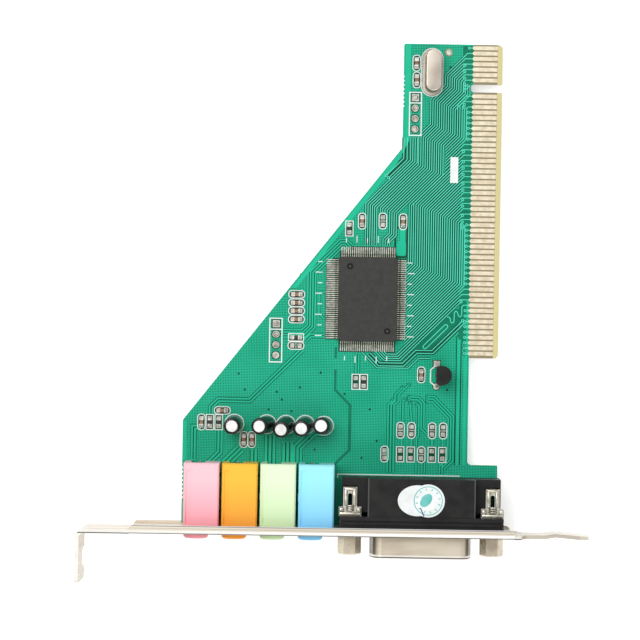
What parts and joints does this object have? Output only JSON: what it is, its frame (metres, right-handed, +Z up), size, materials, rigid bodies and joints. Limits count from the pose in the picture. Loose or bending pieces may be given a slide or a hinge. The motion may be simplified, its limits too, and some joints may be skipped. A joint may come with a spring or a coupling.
{
  "type": "pci sound card",
  "caption": "Short computer sound card: slot bracket, coloured audio jacks, game port, and a tapered board with chip, crystal, capacitors and a gold edge connector.",
  "frame": {"origin": "middle of the key notch on the leading edge of the edge connector, at the component face of the board", "axes": "+X out of the edge connector, +Y along the board away from the bracket, +Z up out of the component face"},
  "size_m": [0.1199, 0.128, 0.0184],
  "materials": {
    "solder_mask": "green lacquer over printed copper",
    "gold_plate": "satin gold flash on copper",
    "nickel_plate": "nickel-plated steel",
    "pink_plastic": "moulded",
    "orange_plastic": "moulded",
    "green_plastic": "moulded",
    "blue_plastic": "moulded",
    "black_plastic": "moulded, fine grain",
    "tinned_strip": "tinned bronze strip",
    "solder": "bright solder",
    "epoxy_black": "transfer-moulded epoxy",
    "crystal_metal": "drawn can, satin",
    "sleeve_black": "shrunk film",
    "can_aluminium": "pressed can",
    "seal_rubber": "moulded seal",
    "ceramic_tan": "fired ceramic",
    "ceramic_dark": "glazed ceramic",
    "paper_white": "coated paper",
    "paper_blue": "coated paper, printed"
  },
  "bodies": {
    "root": {"blue_jack": "blue_plastic", "blue_jack_contacts": "tinned_strip", "bracket": "nickel_plate", "capacitor_1_can": "can_aluminium", "capacitor_1_sleeve": "sleeve_black", "capacitor_2_can": "can_aluminium", "capacitor_2_sleeve": "sleeve_black", "capacitor_3_can": "can_aluminium", "capacitor_3_sleeve": "sleeve_black", "capacitor_4_can": "can_aluminium", "capacitor_4_sleeve": "sleeve_black", "capacitor_5_can": "can_aluminium", "capacitor_5_sleeve": "sleeve_black", "capacitor_leads": "tinned_strip", "capacitor_seals": "seal_rubber", "chip_body": "epoxy_black", "chip_capacitor_bodies": "ceramic_tan", "chip_capacitor_ends": "solder", "chip_leads": "tinned_strip", "chip_resistor_bodies": "ceramic_dark", "chip_resistor_ends": "solder", "crystal_base": "crystal_metal", "crystal_can": "crystal_metal", "crystal_leads": "tinned_strip", "edge_contacts": "gold_plate", "green_jack": "green_plastic", "green_jack_contacts": "tinned_strip", "header_solder": "solder", "hole_rings": "solder", "left_board_lock": "tinned_strip", "left_hex_post": "nickel_plate", "orange_jack": "orange_plastic", "orange_jack_contacts": "tinned_strip", "oval_sticker": "paper_white", "pcb": "solder_mask", "pink_jack": "pink_plastic", "pink_jack_contacts": "tinned_strip", "port_body": "black_plastic", "port_insulator": "black_plastic", "port_pins": "tinned_strip", "port_shell": "nickel_plate", "right_board_lock": "tinned_strip", "right_hex_post": "nickel_plate", "round_sticker": "paper_blue", "transistor_body": "epoxy_black", "transistor_legs": "tinned_strip"}
  },
  "joints": []
}
